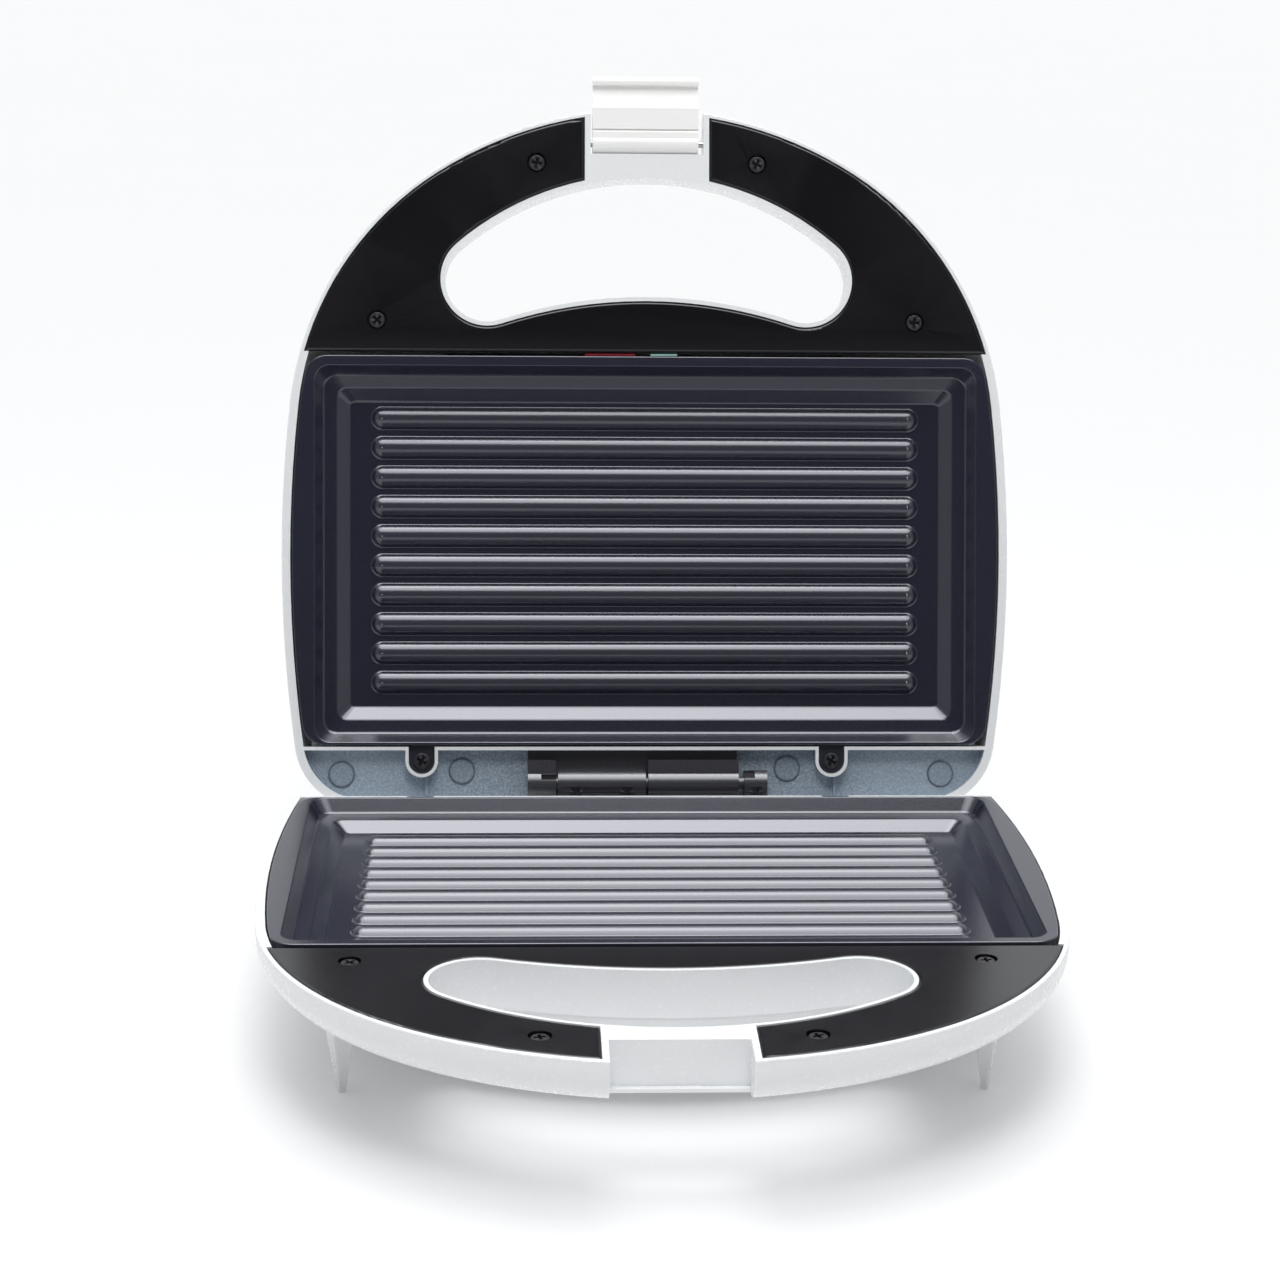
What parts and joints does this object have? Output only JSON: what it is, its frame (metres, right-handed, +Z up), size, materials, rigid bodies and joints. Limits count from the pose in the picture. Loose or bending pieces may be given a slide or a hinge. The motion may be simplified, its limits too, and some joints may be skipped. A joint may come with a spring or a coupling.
{
  "type": "panini press",
  "caption": "Sandwich grill with a hinged lid, arched handles with finger slots, ribbed non-stick plates and a snap-over latch, shown open.",
  "frame": {"origin": "middle of the bounding box at floor level, with the lid open on its stop", "axes": "+X to the right seen from the handles, +Y to the rear (hinge side), +Z up"},
  "size_m": [0.2286, 0.2782, 0.2582],
  "materials": {
    "white_housing": "glossy moulded polypropylene",
    "latch_white": "glossy moulded acetal",
    "black_frame": "polished black moulded plastic",
    "nonstick": "sprayed non-stick coating on cast aluminium, fine grain",
    "black_screw": "blackened steel",
    "heater_steel": "plain steel",
    "shield_aluminium": "mill-finish sheet",
    "hinge_black": "satin heat-resistant moulding",
    "ceramic_body": "unglazed",
    "fuse_sleeve": "braided glass-fibre sleeve",
    "gland_black": "moulded",
    "red_lens": "clear red moulding",
    "green_lens": "clear green moulding",
    "lamp_glass": "clear glass",
    "lamp_holder_plastic": "plain moulded"
  },
  "bodies": {
    "base": {"lower_housing": "white_housing", "lower_handle_frame": "black_frame", "lower_grill_plate": "nonstick", "lower_frame_screws": "black_screw", "lower_plate_screws": "black_screw", "lower_heating_element": "heater_steel", "lower_heat_shield": "shield_aluminium", "lower_shield_screws": "heater_steel", "thermostat": "ceramic_body", "thermal_fuse": "fuse_sleeve", "terminal_block": "ceramic_body", "hinge_base_bracket": "hinge_black", "hinge_base_screws": "heater_steel", "hinge_pin": "black_screw", "front_legs": "white_housing", "rear_legs": "white_housing", "cord_gland": "gland_black"},
    "lid": {"upper_housing": "white_housing", "upper_handle_frame": "black_frame", "upper_grill_plate": "nonstick", "upper_frame_screws": "black_screw", "upper_plate_screws": "black_screw", "upper_heating_element": "heater_steel", "upper_heat_shield": "shield_aluminium", "upper_shield_screws": "heater_steel", "hinge_lid_bracket": "hinge_black", "hinge_lid_screws": "heater_steel", "hinge_lead_sleeve": "fuse_sleeve", "red_indicator_lens": "red_lens", "green_indicator_lens": "green_lens", "neon_lamps": "lamp_glass", "lamp_holder": "lamp_holder_plastic", "latch_pin": "heater_steel"},
    "latch": {"latch_clip": "latch_white"}
  },
  "joints": [
    {"name": "lid_hinge", "type": "hinge", "parent": "base", "child": "lid", "pos_m": [0, 0.07137, 0.0439], "axis": [1, 0, 0], "range_deg": [0, 104.5]},
    {"name": "latch_pivot", "type": "hinge", "parent": "lid", "child": "latch", "pos_m": [0, 0.12458, 0.23765], "axis": [1, 0, 0], "range_deg": [0, 90]}
  ]
}
